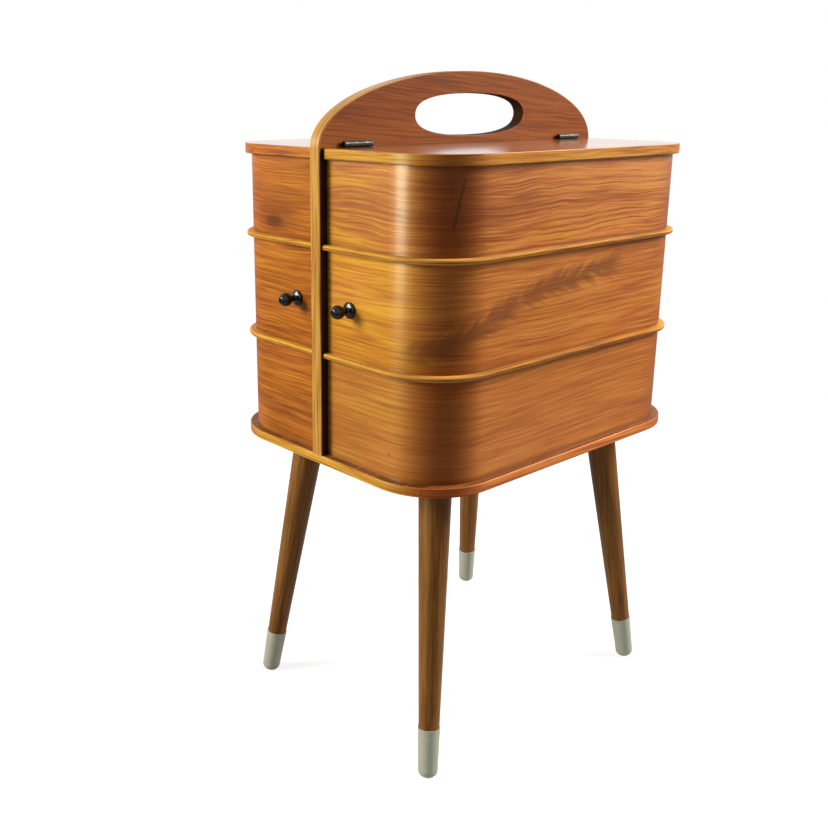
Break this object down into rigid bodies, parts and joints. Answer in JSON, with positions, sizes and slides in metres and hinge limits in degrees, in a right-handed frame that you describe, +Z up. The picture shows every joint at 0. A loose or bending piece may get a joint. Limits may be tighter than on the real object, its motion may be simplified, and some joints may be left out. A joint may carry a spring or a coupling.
{
  "type": "sewing carrier",
  "caption": "Free-standing sewing box on splayed legs: hinged lids and swing-out bent-plywood trays either side of a panel with an arched handle.",
  "frame": {"origin": "middle of the overall footprint, on the floor", "axes": "+X across the central panel to the right-hand trays, +Y along the panel away from the knobs, +Z up"},
  "size_m": [0.317, 0.416, 0.6757],
  "materials": {
    "base_board": "satin lacquer",
    "base_band": "satin lacquer",
    "panel_veneer": "satin lacquer",
    "panel_band": "satin lacquer",
    "wall_veneer": "satin lacquer",
    "inner_board": "thin lacquer",
    "floor_ply": "satin lacquer",
    "pivot_block": "bare hardwood",
    "bush_brass": "turned",
    "knob_black": "gloss black lacquer",
    "screw_steel": "zinc",
    "rod_steel": "ground",
    "lid_veneer": "satin lacquer",
    "lid_band": "satin lacquer",
    "hinge_metal": "blackened steel",
    "hinge_screw_metal": "blackened steel",
    "plate_steel": "plain",
    "leg_wood": "semi-matte lacquer",
    "cap_plastic": "aged pale plastic"
  },
  "bodies": {
    "carrier": {"base_plate": "base_board", "base_edge_band": "base_band", "central_panel": "panel_veneer", "panel_edge_band": "panel_band", "bottom_wall_left": "wall_veneer", "top_wall_left": "wall_veneer", "bottom_inner_board_left": "inner_board", "top_inner_board_left": "inner_board", "top_floor_left": "floor_ply", "pivot_rod_left": "rod_steel", "hinge_panel_leaves_left": "hinge_metal", "bottom_wall_right": "wall_veneer", "top_wall_right": "wall_veneer", "bottom_inner_board_right": "inner_board", "top_inner_board_right": "inner_board", "top_floor_right": "floor_ply", "pivot_rod_right": "rod_steel", "hinge_panel_leaves_right": "hinge_metal", "hinge_panel_screws": "hinge_screw_metal", "hinge_pins": "hinge_metal", "board_screws": "screw_steel", "panel_screws": "screw_steel", "plate_screws": "screw_steel", "hanger_bolts": "screw_steel", "rod_collars": "rod_steel", "rod_nuts": "rod_steel", "leg_plates": "plate_steel", "leg_front_left": "leg_wood", "foot_cap_front_left": "cap_plastic", "leg_front_right": "leg_wood", "foot_cap_front_right": "cap_plastic", "leg_back_left": "leg_wood", "foot_cap_back_left": "cap_plastic", "leg_back_right": "leg_wood", "foot_cap_back_right": "cap_plastic"},
    "lid_left": {"lid_board_left": "lid_veneer", "lid_edge_band_left": "lid_band", "hinge_lid_leaves_left": "hinge_metal", "hinge_lid_screws_left": "hinge_screw_metal"},
    "lid_right": {"lid_board_right": "lid_veneer", "lid_edge_band_right": "lid_band", "hinge_lid_leaves_right": "hinge_metal", "hinge_lid_screws_right": "hinge_screw_metal"},
    "middle_tray_left": {"middle_wall_left": "wall_veneer", "middle_inner_board_left": "inner_board", "middle_floor_left": "floor_ply", "pivot_block_left": "pivot_block", "pivot_bushes_left": "bush_brass", "knob_left": "knob_black", "knob_screw_left": "screw_steel"},
    "middle_tray_right": {"middle_wall_right": "wall_veneer", "middle_inner_board_right": "inner_board", "middle_floor_right": "floor_ply", "pivot_block_right": "pivot_block", "pivot_bushes_right": "bush_brass", "knob_right": "knob_black", "knob_screw_right": "screw_steel"}
  },
  "joints": [
    {"name": "lid_left_hinge", "type": "hinge", "parent": "carrier", "child": "lid_left", "pos_m": [-0.00975, 0.006, 0.6084], "axis": [0, 1, 0], "range_deg": [0, 95]},
    {"name": "lid_right_hinge", "type": "hinge", "parent": "carrier", "child": "lid_right", "pos_m": [0.00975, 0.006, 0.6084], "axis": [0, -1, 0], "range_deg": [0, 95]},
    {"name": "tray_left_swing", "type": "hinge", "parent": "carrier", "child": "middle_tray_left", "pos_m": [-0.02775, 0.1849, 0.4638], "axis": [0, 0, -1], "range_deg": [0, 90]},
    {"name": "tray_right_swing", "type": "hinge", "parent": "carrier", "child": "middle_tray_right", "pos_m": [0.02775, 0.1849, 0.4638], "axis": [0, 0, 1], "range_deg": [0, 90]}
  ]
}
